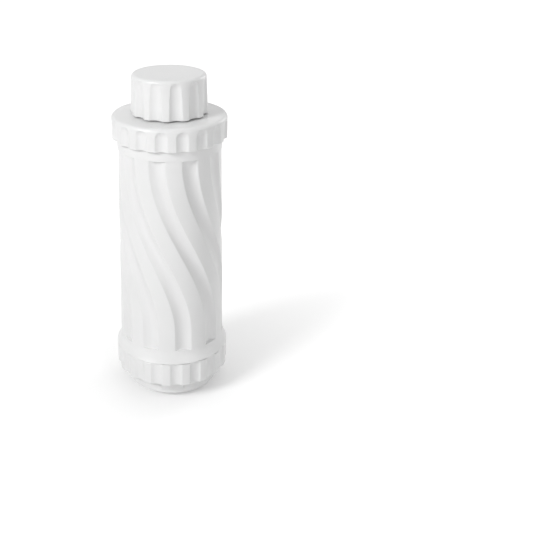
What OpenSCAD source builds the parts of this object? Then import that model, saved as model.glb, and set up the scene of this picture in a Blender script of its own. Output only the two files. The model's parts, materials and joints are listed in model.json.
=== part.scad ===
// Inline water filter: a wave-grooved housing between two screw caps, with a carbon
// cartridge, an inlet cap over a hose thread and a sprung outlet valve inside.
// Millimetres, +Z up, origin on the axis at the face that it stands on.

/* [Overall] */
// Length of the housing that shows between the two screw caps
body_h = 115.7; // [95:0.1:140]
// Radius of the housing's bore
bore_r = 21.8; // [20:0.1:26.5]
// Height of the bottom cap's fluted rim
bottom_rim_h = 13.3; // [11:0.1:16]
// How far the bottom cap's domed base stands below its rim
base_drop = 10.8; // [9:0.1:13]
// Height of the top closure's fluted collar
collar_h = 11.5; // [11.2:0.1:15]
// Height of the inlet cap
cap_h = 19.6; // [18:0.1:23]

/* [Housing] */
// Wall of the body outside the bore, at its upper end
body_wall = 4.25; // [4:0.05:6]
// How much wider the body's radius is at its foot
body_taper = 1.8; // [0:0.05:2]
// Number of wave grooves round the body
wave_count = 10; // [6:1:12]
// Depth of a wave groove
wave_depth = 1.7; // [1:0.1:1.9]
// Width of a wave groove, in degrees round the body
wave_width = 18; // [10:0.5:22]
// How far a groove swings round the body on its way down, in degrees
wave_sweep = 62.5; // [0:0.5:90]
// Where the first groove starts, in degrees
wave_phase = -104.3; // [-180:0.1:180]
// Height of the plain band above the grooves
band_h = 4.8; // [3:0.1:8]
// How far the band stands proud of the body
band_step = 0.3; // [0.1:0.05:0.8]
// Height of the flared foot above the bottom cap
foot_h = 7.9; // [6:0.1:12]
// Wall of the threaded neck
neck_wall = 2.6; // [2.2:0.1:3.2]
// Wall of the threaded foot skirt
skirt_wall = 4.2; // [3.4:0.1:5]
// Length of the threaded foot skirt
skirt_h = 5.9; // [5.5:0.1:7]

/* [Screw caps] */
// Depth of the closure and bottom cap threads
thread_depth = 0.9; // [0.6:0.05:1.2]
// Thread pitch of the top closure
collar_pitch = 4; // [3:0.1:5]
// Thread pitch of the bottom cap
bottom_pitch = 3; // [2.5:0.1:3.5]
// Wall of the top closure's rim between its thread and its flutes
collar_wall = 2.05; // [1.5:0.05:3]
// Wall of the bottom cap's rim between its thread and its flutes
bottom_wall = 1.85; // [1.5:0.05:3]
// Depth of the flutes of both rims
flute_depth = 1.15; // [0.6:0.05:1.6]
// Number of flutes round each rim
flute_count = 18; // [12:1:24]
// Width of a rim flute, in degrees
flute_width = 12; // [6:0.5:14]
// Where a flute of the top closure stands, in degrees
collar_phase = -78; // [-180:0.5:180]
// Where a flute of the bottom cap stands, in degrees
bottom_phase = -86.4; // [-180:0.1:180]
// Thickness of the top closure's face
face_t = 2.6; // [2:0.1:4]
// Wall of the skirt that plugs the housing's bore
plug_wall = 3; // [2.6:0.1:4]

/* [Bottom cap] */
// Wall of the base cup
cup_wall = 2.2; // [1.6:0.1:3]
// Thickness of the web between the rim and the base cup
web_t = 2.35; // [1.8:0.05:3]
// Width of a web window, in degrees
window_width = 75; // [40:1:95]
// Where the first web window stands, in degrees
window_phase = -30; // [-180:1:180]
// Height of the dome below the base cup's face
dome_h = 2.4; // [1:0.1:3.5]
// Radius of the dome's flat face, on which the filter stands
stand_r = 13.6; // [12:0.1:15]
// Radius of the dome's foot
dome_r = 20.2; // [18:0.1:20.6]
// Thickness of the dome
dome_t = 2.2; // [1.6:0.1:3]
// Radius of the star's middle hole
star_hole_r = 5.4; // [5:0.1:6.5]
// Radius to the tips of the star's slots
star_r = 8.9; // [8:0.1:11]
// Number of slots in the star
star_slots = 12; // [6:1:16]
// Width of a star slot where it leaves the middle hole
star_slot_w = 1.6; // [1:0.1:1.9]
// Width of a star slot at its tip
star_tip_w = 0.4; // [0.3:0.1:0.9]

/* [Inlet] */
// Radius of the inlet spout's bore
spout_bore_r = 9.5; // [8:0.1:10]
// Wall of the spout below its thread
spout_wall = 2.8; // [2.4:0.1:4]
// Height of the spout above the closure's face
spout_h = 16; // [14:0.1:18]
// Depth of the hose thread
hose_depth = 1.15; // [0.8:0.05:1.3]
// Pitch of the hose thread
hose_pitch = 2.209; // [2:0.001:2.6]
// Turns of the hose thread
hose_turns = 3; // [2:0.25:4]
// Wall of the inlet cap behind its flutes
cap_wall = 3.75; // [3:0.05:5]
// Depth of the inlet cap's flutes
cap_flute_depth = 1.5; // [0.8:0.05:2]
// Number of flutes round the inlet cap
cap_flutes = 12; // [8:1:16]
// Width of an inlet cap flute, in degrees
cap_flute_width = 20; // [10:0.5:24]
// Where a flute of the inlet cap stands, in degrees
cap_phase = -80.4; // [-180:0.1:180]
// How much the inlet cap narrows from its foot to its top
cap_taper = 0.6; // [0:0.05:1.2]
// Thickness of the inlet cap's top
cap_top_t = 2.55; // [2:0.05:4]
// Thickness of the cap's flat seal
cap_seal_t = 1.6; // [1:0.1:2.4]

/* [Cartridge] */
// Outer radius of the carbon block
block_r = 17.6; // [15:0.1:18.2]
// Outer radius of the core tube
core_r = 7.6; // [6:0.1:9]
// Wall of the core tube
core_wall = 1.4; // [1:0.1:2]
// Thickness of the fleece wrap
fleece_t = 1; // [0.5:0.05:1.5]
// Thickness of the netting
net_t = 0.7; // [0.5:0.05:1]
// Thickness of an end cap's plate
end_plate_t = 2; // [1.5:0.1:3]
// Thickness of a block gasket
block_gasket_t = 1; // [0.5:0.1:2]
// Height of the spring above the cartridge
spring_h = 10.4; // [9:0.1:14]
// Wire radius of the cartridge spring
spring_wire_r = 0.7; // [0.5:0.05:0.9]

/* [Outlet] */
// Radius of the cartridge stub
stub_r = 8.1; // [7.5:0.05:8.6]
// Radius of the passage through the stub
stub_bore_r = 4.5; // [3.5:0.1:5]
// Height of the valve chamber above the base cup's floor
chamber_h = 10.4; // [10:0.1:13]
// Thickness of the plug's deck
deck_t = 2.4; // [2:0.1:3.5]
// Radius of the valve seat's hole
seat_hole_r = 5; // [4:0.1:5.2]
// Thickness of the valve seat
seat_t = 2.4; // [2:0.1:3]
// Radius of the outlet tube
tube_r = 3.5; // [3:0.05:4]
// Radius of the outlet tube's bore
tube_bore_r = 2.15; // [1.5:0.05:2.4]
// Travel of the valve
valve_travel = 2.5; // [1.5:0.1:2.7]

/* [Fits] */
// Radial gap between thread tips and roots
thread_gap = 0.3; // [0.25:0.05:0.4]
// Gap between thread flanks
flank_gap = 0.25; // [0.15:0.05:0.35]
// Gap between pieces that pass each other
slip_gap = 0.3; // [0.2:0.05:0.4]
// Radial gap of a sliding or sealing fit
fit_gap = 0.05; // [0.03:0.01:0.08]
// Parting line between a screw cap and the housing
parting_gap = 0.3; // [0.2:0.05:0.5]
// Gap under the inlet cap
cap_gap = 0.6; // [0.4:0.05:1]

/* [Hidden] */
$fn = 96;
foot_lip = 0.4; // edge of the flared foot's rim
groove_end = 0.86; // share of the foot's height at which the grooves end
groove_end_h = 0.5; // height over which a groove's end slopes in
white = [0.94, 0.94, 0.94];
sink = 0.3; // how far a thread ridge is rooted in its wall
turn_steps = 36; // thread facets in a turn

// Heights, from the standing face up
rim_z = base_drop;
cup_floor_z = dome_h + dome_t;
parting_z = rim_z + bottom_rim_h + parting_gap;
foot_z = parting_z + foot_h;
skirt_z = parting_z - skirt_h;
collar_z = parting_z + body_h;
band_z = collar_z - parting_gap - band_h;
face_z = collar_z + collar_h;
ceiling_z = face_z - face_t;
neck_top_z = ceiling_z - slip_gap;
spout_top_z = face_z + spout_h;
cap_z = face_z + cap_gap;
cap_top_z = cap_z + cap_h;
cap_ceiling_z = cap_top_z - cap_top_t;

// Radii, from the bore out
body_top_r = bore_r + body_wall;
body_foot_r = body_top_r + body_taper;
band_r = body_top_r + band_step;
neck_r = bore_r + neck_wall;
skirt_r = bore_r + skirt_wall;
collar_root_r = neck_r + thread_depth + thread_gap;
collar_r = collar_root_r + collar_wall + flute_depth;
bottom_root_r = skirt_r + thread_depth + thread_gap;
bottom_r = bottom_root_r + bottom_wall + flute_depth;
plug_r = bore_r - slip_gap;
plug_in_r = plug_r - plug_wall;
cup_in_r = plug_r + 2 * slip_gap;
cup_r = cup_in_r + cup_wall;
spout_r = spout_bore_r + spout_wall;
hose_r = spout_r + hose_depth;
cap_root_r = hose_r + thread_gap;
cap_r = cap_root_r + cap_wall + cap_flute_depth;

// Seals: each ring's section radius, and the radius of its centre line
plug_seal_r = 1;
plug_seal_mid_r = bore_r - fit_gap - plug_seal_r;
seal_groove_r = plug_seal_mid_r - plug_seal_r - fit_gap;
seal_groove_h = 2 * plug_seal_r + 0.4;
stub_seal_r = 0.9;
socket_r = stub_r + 0.4;
stub_seal_mid_r = socket_r - fit_gap - stub_seal_r;

// Outlet plug, valve and tube
slip_ring_t = 0.6;
plug_z = cup_floor_z + slip_ring_t;
deck_z = cup_floor_z + chamber_h;
seat_lip_t = 0.6;
seat_z = deck_z + seat_lip_t;
socket_top_z = deck_z + 11.4;
plug_top_z = deck_z + 12.7;
plug_seal_z = deck_z + 7.7;
socket_wall = 2.5;
spider_t = 1.5;
spider_top_z = plug_z + spider_t;
tube_z = 0.3;
valve_gap = 0.1; // under the seat with the valve shut, and over the tube with it open
disc_r = seat_hole_r + 1.2;
seal_t = 0.7;
disc_t = 1.8;
disc_z = seat_z - valve_gap - seal_t - disc_t;
tube_top_z = disc_z - valve_travel - valve_gap;
sleeve_z = spider_top_z + valve_travel + slip_gap;
sleeve_r = tube_r + fit_gap + 0.85;
valve_wire_r = 0.35;
valve_coil_r = sleeve_r + 0.25 + valve_wire_r;

// Cartridge
lower_plate_z = plug_top_z + slip_gap;
lower_block_z = lower_plate_z + end_plate_t + block_gasket_t;
stub_z = seat_z + seat_t + 0.4;
stub_seals = [stub_z + 2.2, stub_z + 5.4];
spreader_t = 1.8;
pad_t = 3;
pad_z = ceiling_z - pad_t;
spreader_z = pad_z - spreader_t;
closure_plug_z = spreader_z - 4.5;
closure_seal_z = spreader_z + 0.3;
spring_z = spreader_z - spring_h;
upper_plate_z = spring_z - end_plate_t;
upper_block_z = upper_plate_z - block_gasket_t;
wrap_gap = 0.05; // under the fleece, and under the netting
fleece_r = block_r + wrap_gap + fleece_t;
net_r = fleece_r + wrap_gap + net_t;
end_cap_r = net_r + slip_gap;
block_in_r = core_r + 0.1;
end_rim_h = 3;
end_rim_t = 1;
spring_r = 12.5;
screen_z = face_z + 0.5;
screen_t = 0.6;
screen_hole_r = spout_bore_r - 1.5;

// Threads: widths at root and tip, height at angle 0, and where the ridge ends
collar_thread_w = 2.5;
collar_tip_w = 1.3;
collar_thread_z = collar_z + 2.1;
collar_thread_end = 430;
bottom_thread_w = 1.8;
bottom_tip_w = 1;
bottom_thread_z = skirt_z + 1.4;
bottom_thread_end = 378;
hose_root_w = 1.5;
hose_tip_w = 0.7;
hose_z = spout_top_z - 1.5 - hose_pitch * hose_turns;

// ---- Shared shapes ----

function smooth(u) = let (c = max(0, min(1, u))) c * c * (3 - 2 * c);

// Points of an arc in the plane of a profile
function arc(centre, r, from, to, steps = 8) =
    [for (i = [0 : steps]) let (a = from + (to - from) * i / steps)
        centre + r * [cos(a), sin(a)]];

// Tube between two radii and two heights
module ring(r_in, r_out, z0, z1) {
    rotate_extrude() translate([r_in, z0]) square([r_out - r_in, z1 - z0]);
}

// Ring of round section
module seal_ring(mid_r, section_r, z) {
    rotate_extrude() translate([mid_r, z]) circle(r = section_r, $fn = 32);
}

// Triangles that join rows of points: n rows, each a closed loop of m points
function loft_faces(n, m) = concat(
    [[for (k = [m - 1 : -1 : 0]) k]],
    [for (i = [0 : n - 2], k = [0 : m - 1]) let (a = i * m + k, b = i * m + (k + 1) % m)
        [a, b, b + m]],
    [for (i = [0 : n - 2], k = [0 : m - 1]) let (a = i * m + k, b = i * m + (k + 1) % m)
        [a, b + m, a + m]],
    [[for (k = [0 : m - 1]) (n - 1) * m + k]]);

// Thread ridge that stands on a wall of radius root_r and reaches tip_r. Its middle is at
// height z at angle 0, and it runs from angle a0 to a1 with faded ends.
module thread_ridge(root_r, tip_r, root_w, tip_w, pitch, z, a0, a1) {
    outward = tip_r > root_r;
    foot_r = root_r + (outward ? -sink : sink);
    steps = ceil((a1 - a0) / 360 * turn_steps);
    fade = 40;
    rows = [for (i = [0 : steps]) let (
            a = a0 + (a1 - a0) * i / steps,
            k = max(0.1, min(1, (a - a0) / fade, (a1 - a) / fade)),
            tip = root_r + (tip_r - root_r) * k,
            mid = z + pitch * a / 360,
            r_a = outward ? foot_r : tip, w_a = outward ? root_w : tip_w,
            r_b = outward ? tip : foot_r, w_b = outward ? tip_w : root_w)
        for (p = [[r_a, -w_a / 2], [r_b, -w_b / 2], [r_b, w_b / 2], [r_a, w_a / 2]])
            [p[0] * cos(a), p[0] * sin(a), mid + p[1]]];
    polyhedron(points = rows, faces = loft_faces(steps + 1, 4), convexity = 6);
}

// Width of an inner thread's ridge at radius r, beside an outer one that has root_w at
// root_r and narrows to tip_w at tip_r
function mating_width(r, root_r, tip_r, root_w, tip_w, pitch) =
    2 * (pitch / 2 - flank_gap - (root_w + (tip_w - root_w) * (r - root_r) / (tip_r - root_r)) / 2);

// Round-bottomed cutters for the flutes of a rim of radius r, with a rounded upper end
module flute_cutters(count, r, depth, width, phase, z0, z1) {
    lost = r * (1 - cos(width / 2));
    mid = (2 * r * depth - depth * depth) / (2 * (depth - lost));
    cut_r = mid - r + depth;
    for (i = [0 : count - 1]) rotate(phase + i * 360 / count) translate([mid, 0, 0]) {
        translate([0, 0, z0]) cylinder(r = cut_r, h = z1 - z0, $fn = 48);
        translate([0, 0, z1]) sphere(r = cut_r, $fn = 48);
    }
}

// Coil of round wire with closed ends, standing from z0 to z1
module coil(mid_r, wire_r, z0, z1, active, steps, sides) {
    end_pitch = 2 * wire_r * 1.12;
    rise = z1 - z0 - 2 * wire_r - 2 * end_pitch;
    turns = active + 2;
    n = turns * steps;
    rows = [for (i = [0 : n]) let (
            t = i / steps,
            z = z0 + wire_r + end_pitch * min(t, 1) + rise * max(0, min(1, (t - 1) / active))
                + end_pitch * max(0, t - turns + 1))
        for (k = [0 : sides - 1]) let (a = 360 * k / sides, r = mid_r + wire_r * cos(a))
            [r * cos(360 * t), r * sin(360 * t), z + wire_r * sin(a)]];
    polyhedron(points = rows, faces = loft_faces(n + 1, sides), convexity = 8);
}

// ---- Housing ----

function body_r(z) = body_top_r + body_taper * max(0, min(1, (band_z - z) / (band_z - foot_z)))
    + (bottom_r - body_foot_r) * pow(max(0, foot_z - z) / (foot_h - foot_lip), 2);
// Angle of the first groove's middle at height z
function wave_angle(z) =
    wave_phase + wave_sweep * smooth(((band_z - z) / (band_z - foot_z) - 0.02) / 0.88);

// Solid body with a flared foot and the wave grooves on its outside, which end flat in the flare
module wave_body() {
    rows = 20;
    half = wave_width / 2;
    pitch = 360 / wave_count;
    across = [-1, -0.75, -0.5, -0.25, 0, 0.25, 0.5, 0.75, 1];
    loop = concat([for (u = across) [u * half, 1 - u * u]], [[pitch / 2, 0]]);
    foot_rows = 6;
    z0 = parting_z + foot_lip;
    z1 = parting_z + foot_h * groove_end;
    z2 = z1 + groove_end_h;
    z3 = band_z + 0.5;
    levels = concat([[bottom_r - foot_lip, parting_z]],
        [for (i = [0 : foot_rows]) let (z = z0 + (z1 - z0) * i / foot_rows) [body_r(z), z]],
        [for (i = [0 : rows]) let (z = z2 + (z3 - z2) * i / rows) [body_r(z), z]]);
    points = [for (level = levels, w = [0 : wave_count - 1], p = loop) let (
            z = level[1],
            a = wave_angle(z) - w * pitch - p[0],
            r = level[0] - (z > z1 ? wave_depth * p[1] : 0))
        [r * cos(a), r * sin(a), z]];
    polyhedron(points = points, faces = loft_faces(len(levels), wave_count * len(loop)),
        convexity = 4);
}

module housing() {
    color(white) difference() {
        union() {
            wave_body();
            rotate_extrude() polygon([[0, band_z], [band_r, band_z], [band_r, band_z + band_h],
                [neck_r, band_z + band_h], [neck_r, neck_top_z], [0, neck_top_z]]);
            translate([0, 0, skirt_z]) cylinder(r = skirt_r, h = parting_z + 1 - skirt_z);
            thread_ridge(neck_r, neck_r + thread_depth, collar_thread_w, collar_tip_w,
                collar_pitch, collar_thread_z, 0, collar_thread_end);
            thread_ridge(skirt_r, skirt_r + thread_depth, bottom_thread_w, bottom_tip_w,
                bottom_pitch, bottom_thread_z, 0, bottom_thread_end);
        }
        translate([0, 0, skirt_z - 1]) cylinder(r = bore_r, h = neck_top_z - skirt_z + 2);
    }
}

// ---- Top closure and what it carries ----

module top_closure() {
    edge_r = 2;
    tip_r = neck_r + thread_gap;
    tip_w = mating_width(tip_r, neck_r, neck_r + thread_depth, collar_thread_w, collar_tip_w,
        collar_pitch);
    root_w = mating_width(collar_root_r, neck_r, neck_r + thread_depth, collar_thread_w,
        collar_tip_w, collar_pitch);
    color(white) union() {
        difference() {
            rotate_extrude() polygon(concat(
                [[screen_hole_r, ceiling_z], [plug_in_r, ceiling_z],
                    [plug_in_r, closure_plug_z], [plug_r, closure_plug_z],
                    [plug_r, ceiling_z], [collar_root_r, ceiling_z],
                    [collar_root_r, collar_z], [collar_r, collar_z]],
                arc([collar_r - edge_r, face_z - edge_r], edge_r, 0, 90),
                [[spout_r, face_z], [spout_r, spout_top_z], [spout_bore_r, spout_top_z],
                    [spout_bore_r, screen_z], [screen_hole_r, screen_z]]));
            flute_cutters(flute_count, collar_r, flute_depth, flute_width, collar_phase,
                collar_z - 1, face_z - edge_r - 2.6);
            ring(seal_groove_r, plug_r + 1, closure_seal_z - seal_groove_h / 2,
                closure_seal_z + seal_groove_h / 2);
        }
        thread_ridge(collar_root_r, tip_r, root_w, tip_w, collar_pitch,
            collar_thread_z - collar_pitch / 2, 150, 640);
        thread_ridge(spout_r, hose_r, hose_root_w, hose_tip_w, hose_pitch, hose_z, 0,
            360 * hose_turns);
    }
}

module top_o_ring() {
    color([0.12, 0.12, 0.12]) seal_ring(plug_seal_mid_r, plug_seal_r, closure_seal_z);
}

// Woven screen under the hose connection, as a plate with rings of small holes
module inlet_screen() {
    hole_r = 0.6;
    step = 2;
    color("silver") difference() {
        translate([0, 0, screen_z]) cylinder(r = spout_bore_r - fit_gap, h = screen_t);
        translate([0, 0, screen_z - 1]) cylinder(r = hole_r, h = screen_t + 2, $fn = 16);
        for (k = [1 : floor((screen_hole_r - hole_r) / step)], i = [0 : 6 * k - 1])
            rotate(i * 60 / k) translate([k * step, 0, screen_z - 1])
                cylinder(r = hole_r, h = screen_t + 2, $fn = 16);
    }
}

module screen_clip() {
    color(white)
        ring(screen_hole_r, spout_bore_r - fit_gap, screen_z + screen_t, screen_z + screen_t + 1.2);
}

module sediment_pad() {
    color([0.9, 0.9, 0.86]) translate([0, 0, pad_z])
        cylinder(r = plug_in_r - slip_gap, h = pad_t - 0.1);
}

// Perforated plate that holds the pad up and spreads the flow, with three rings of holes
module flow_spreader() {
    hole_r = 1;
    color(white) difference() {
        translate([0, 0, spreader_z]) cylinder(r = plug_in_r, h = spreader_t);
        for (row = [[4, 6], [8.5, 12], [13.5, 18]], i = [0 : row[1] - 1])
            rotate(i * 360 / row[1]) translate([row[0], 0, spreader_z - 1])
                cylinder(r = hole_r, h = spreader_t + 2, $fn = 24);
    }
}

module inlet_cap() {
    edge_r = 1.9;
    crown = 0.35;
    top_r = cap_r - cap_taper;
    tip_r = spout_r + thread_gap;
    tip_w = mating_width(tip_r, spout_r, hose_r, hose_root_w, hose_tip_w, hose_pitch);
    root_w = mating_width(cap_root_r, spout_r, hose_r, hose_root_w, hose_tip_w, hose_pitch);
    color(white) union() {
        difference() {
            rotate_extrude() polygon(concat(
                [[0, cap_ceiling_z], [cap_root_r, cap_ceiling_z], [cap_root_r, cap_z],
                    [cap_r - 0.3, cap_z], [cap_r, cap_z + 0.3]],
                arc([top_r - edge_r, cap_top_z - crown - edge_r], edge_r, 0, 84),
                [[0, cap_top_z]]));
            flute_cutters(cap_flutes, cap_r, cap_flute_depth, cap_flute_width, cap_phase,
                cap_z - 1, cap_top_z - edge_r - 2.4);
        }
        thread_ridge(cap_root_r, tip_r, root_w, tip_w, hose_pitch, hose_z - hose_pitch / 2, 0, 800);
    }
}

module cap_seal() {
    color([0.2, 0.2, 0.2]) ring(spout_bore_r, cap_root_r - slip_gap, spout_top_z + 0.05,
        min(spout_top_z + 0.05 + cap_seal_t, cap_ceiling_z - 0.05));
}

// ---- Cartridge ----

module cartridge_spring() {
    color("silver") coil(spring_r, spring_wire_r, spring_z, spreader_z - slip_gap, 2, 24, 8);
}

// Plate and rim of an end cap, with lugs that centre it in the bore. It opens upwards.
module end_cap_shell(z) {
    lug_w = 3;
    ring(core_r - core_wall, end_cap_r + end_rim_t, z, z + end_plate_t);
    ring(end_cap_r, end_cap_r + end_rim_t, z, z + end_plate_t + end_rim_h);
    for (i = [0 : 3]) rotate(45 + 90 * i) translate([end_cap_r, -lug_w / 2, z])
        cube([bore_r - slip_gap - end_cap_r, lug_w, end_plate_t]);
}

module upper_end_cap() {
    color(white) translate([0, 0, spring_z]) mirror([0, 0, 1]) union() {
        end_cap_shell(0);
        cylinder(r = core_r, h = end_plate_t);
    }
}

module block_gasket(z) {
    color([0.25, 0.25, 0.25]) ring(block_in_r, block_r, z, z + block_gasket_t);
}

module upper_block_gasket() { block_gasket(upper_block_z); }

module lower_block_gasket() { block_gasket(lower_block_z - block_gasket_t); }

module carbon_block() {
    color([0.1, 0.1, 0.1]) ring(block_in_r, block_r, lower_block_z, upper_block_z);
}

// Tube with rows of holes, down the middle of the block
module core_tube() {
    hole_rows = 8;
    hole_r = 1.6;
    z0 = lower_plate_z + end_plate_t;
    z1 = upper_plate_z;
    color(white) difference() {
        ring(core_r - core_wall, core_r, z0, z1);
        for (i = [0 : hole_rows - 1], side = [0 : 2])
            translate([0, 0, z0 + (z1 - z0) * (i + 0.5) / hole_rows]) rotate(side * 60 + i * 30)
                rotate([90, 0, 0]) cylinder(r = hole_r, h = 2 * core_r + 2, center = true, $fn = 24);
    }
}

module fleece_wrap() {
    color([0.93, 0.93, 0.9]) ring(block_r + wrap_gap, fleece_r, lower_block_z, upper_block_z);
}

// Netting sleeve round the fleece, with rows of windows
module outer_net() {
    window_rows = 7;
    window_w = 11.6;
    bar = 1.2;
    pitch = (upper_block_z - lower_block_z - bar) / window_rows;
    color(white) difference() {
        ring(fleece_r + wrap_gap, net_r, lower_block_z, upper_block_z);
        for (i = [0 : window_rows - 1], side = [0 : 3]) rotate(side * 45)
            translate([-net_r - 1, -window_w / 2, lower_block_z + bar + i * pitch])
                cube([2 * net_r + 2, window_w, pitch - bar]);
    }
}

module lower_end_cap() {
    groove_r = stub_seal_mid_r - stub_seal_r - fit_gap;
    groove_h = 2 * stub_seal_r + 0.2;
    color(white) difference() {
        union() {
            end_cap_shell(lower_plate_z);
            ring(stub_bore_r, core_r, lower_plate_z, lower_plate_z + end_plate_t);
            ring(stub_bore_r, stub_r, stub_z, lower_plate_z + end_plate_t);
        }
        for (z = stub_seals) ring(groove_r, stub_r + 1, z - groove_h / 2, z + groove_h / 2);
    }
}

module stub_o_ring(z) {
    color([0.12, 0.12, 0.12]) seal_ring(stub_seal_mid_r, stub_seal_r, z);
}

module lower_stub_o_ring() { stub_o_ring(stub_seals[0]); }

module upper_stub_o_ring() { stub_o_ring(stub_seals[1]); }

// ---- Outlet ----

// Plug that seals the housing's lower end and holds the stub's socket and the valve
module outlet_plug() {
    color(white) rotate_extrude() polygon([
        [plug_in_r, plug_z], [plug_r, plug_z],
        [plug_r, plug_seal_z - seal_groove_h / 2],
        [seal_groove_r, plug_seal_z - seal_groove_h / 2],
        [seal_groove_r, plug_seal_z + seal_groove_h / 2],
        [plug_r, plug_seal_z + seal_groove_h / 2], [plug_r, plug_top_z],
        [plug_in_r, plug_top_z],
        [plug_in_r, deck_z + deck_t], [socket_r + socket_wall, deck_z + deck_t],
        [socket_r + socket_wall, socket_top_z], [socket_r, socket_top_z],
        [socket_r, seat_z], [disc_r + 1.2, seat_z], [disc_r + 1.2, deck_z],
        [plug_in_r, deck_z]]);
}

module plug_o_ring() {
    color([0.12, 0.12, 0.12]) seal_ring(plug_seal_mid_r, plug_seal_r, plug_seal_z);
}

// Slippery washer on which the bottom cap turns under the plug
module slip_ring() {
    color([0.85, 0.85, 0.8]) ring(plug_in_r + 0.2, plug_r - 0.1, cup_floor_z + 0.05, plug_z);
}

module valve_seat() {
    color(white) ring(seat_hole_r, socket_r, seat_z, seat_z + seat_t);
}

// Valve disc on a sleeve that slides over the outlet tube
module valve_poppet() {
    color([0.8, 0.8, 0.8]) rotate_extrude() polygon([
        [0, disc_z], [tube_r + fit_gap, disc_z], [tube_r + fit_gap, sleeve_z],
        [sleeve_r, sleeve_z], [sleeve_r, disc_z], [disc_r, disc_z],
        [disc_r, disc_z + disc_t], [0, disc_z + disc_t]]);
}

module poppet_seal() {
    color([0.2, 0.2, 0.2]) translate([0, 0, disc_z + disc_t]) cylinder(r = disc_r - 0.2, h = seal_t);
}

module valve_spring() {
    color("silver") coil(valve_coil_r, valve_wire_r, spider_top_z, disc_z, 3, 20, 6);
}

// Tube in the middle of the star, carried by a three-armed spider
module outlet_tube() {
    spider_rim = 1.6;
    spider_arm_w = 2.4;
    arm_step = 0.3; // how far the arms stand above the rim
    color(white) difference() {
        union() {
            translate([0, 0, tube_z]) cylinder(r = tube_r, h = tube_top_z - tube_z);
            ring(plug_in_r - spider_rim, plug_in_r, plug_z, spider_top_z - arm_step);
            for (i = [0 : 2]) rotate(90 + i * 120)
                translate([0, -spider_arm_w / 2, plug_z + arm_step])
                    cube([plug_in_r - spider_rim / 2, spider_arm_w, spider_t - arm_step]);
        }
        translate([0, 0, tube_z - 1]) cylinder(r = tube_bore_r, h = tube_top_z - tube_z + 2);
    }
}

// ---- Bottom cap ----

// Fluted rim, windowed web, base cup and dome with the star, as one moulding
module bottom_cap() {
    edge_r = 0.8;
    cup_edge_r = 1.2;
    rim_top_z = rim_z + bottom_rim_h;
    floor_r = plug_in_r - 0.5;
    window_ledge = 0.2;
    tip_r = skirt_r + thread_gap;
    tip_w = mating_width(tip_r, skirt_r, skirt_r + thread_depth, bottom_thread_w, bottom_tip_w,
        bottom_pitch);
    root_w = mating_width(bottom_root_r, skirt_r, skirt_r + thread_depth, bottom_thread_w,
        bottom_tip_w, bottom_pitch);
    color(white) union() {
        difference() {
            rotate_extrude() polygon(concat(
                [[0, 0], [stand_r, 0]],
                [for (i = [1 : 8]) let (u = i / 8)
                    [stand_r + (dome_r - stand_r) * u, dome_h * smooth(u)]],
                arc([cup_r - cup_edge_r, dome_h + cup_edge_r], cup_edge_r, -90, 0, 6),
                [[cup_r, rim_z], [bottom_r - edge_r, rim_z], [bottom_r, rim_z + edge_r],
                    [bottom_r, rim_top_z - 0.4], [bottom_r - 0.4, rim_top_z],
                    [bottom_root_r, rim_top_z], [bottom_root_r, rim_z + web_t],
                    [cup_in_r, rim_z + web_t], [cup_in_r, cup_floor_z], [floor_r, cup_floor_z],
                    [stand_r - 1, dome_t], [0, dome_t]]));
            flute_cutters(flute_count, bottom_r, flute_depth, flute_width, bottom_phase,
                rim_z - 1, rim_top_z + 1);
            for (i = [0 : 2]) rotate(window_phase + i * 120 - window_width / 2)
                rotate_extrude(angle = window_width) translate([cup_r + window_ledge, rim_z - 1])
                    square([bottom_root_r - cup_r - 2 * window_ledge, web_t + 2]);
            translate([0, 0, -1]) cylinder(r = star_hole_r, h = dome_t + 2);
            for (i = [0 : star_slots - 1]) rotate((i + 0.5) * 360 / star_slots)
                translate([0, 0, -1]) linear_extrude(dome_t + 2) polygon([
                    [0, -star_slot_w / 2], [star_hole_r, -star_slot_w / 2],
                    [star_r, -star_tip_w / 2], [star_r, star_tip_w / 2],
                    [star_hole_r, star_slot_w / 2], [0, star_slot_w / 2]]);
        }
        thread_ridge(bottom_root_r, tip_r, root_w, tip_w, bottom_pitch,
            bottom_thread_z - bottom_pitch / 2, 0, 540);
        // Ribs that run from the web down to the base cup's face, between the windows
        for (i = [0 : 2]) rotate(window_phase + 60 + i * 120 - 14)
            rotate_extrude(angle = 28) polygon([[cup_r - 0.5, rim_z + 0.5],
                [bottom_root_r, rim_z + 0.5], [bottom_root_r, rim_z],
                [cup_r, rim_z - 5], [cup_r - 0.5, rim_z - 5]]);
    }
}

housing();
top_closure();
top_o_ring();
inlet_cap();
cap_seal();
inlet_screen();
screen_clip();
sediment_pad();
flow_spreader();
cartridge_spring();
upper_end_cap();
upper_block_gasket();
carbon_block();
core_tube();
fleece_wrap();
outer_net();
lower_block_gasket();
lower_end_cap();
upper_stub_o_ring();
lower_stub_o_ring();
outlet_plug();
plug_o_ring();
slip_ring();
valve_seat();
valve_poppet();
poppet_seal();
valve_spring();
outlet_tube();
bottom_cap();
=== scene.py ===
import json
from math import atan2, ceil, cos, degrees, hypot, pi, radians, sin, sqrt

import bmesh
import bpy
from mathutils import Matrix, Vector


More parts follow.
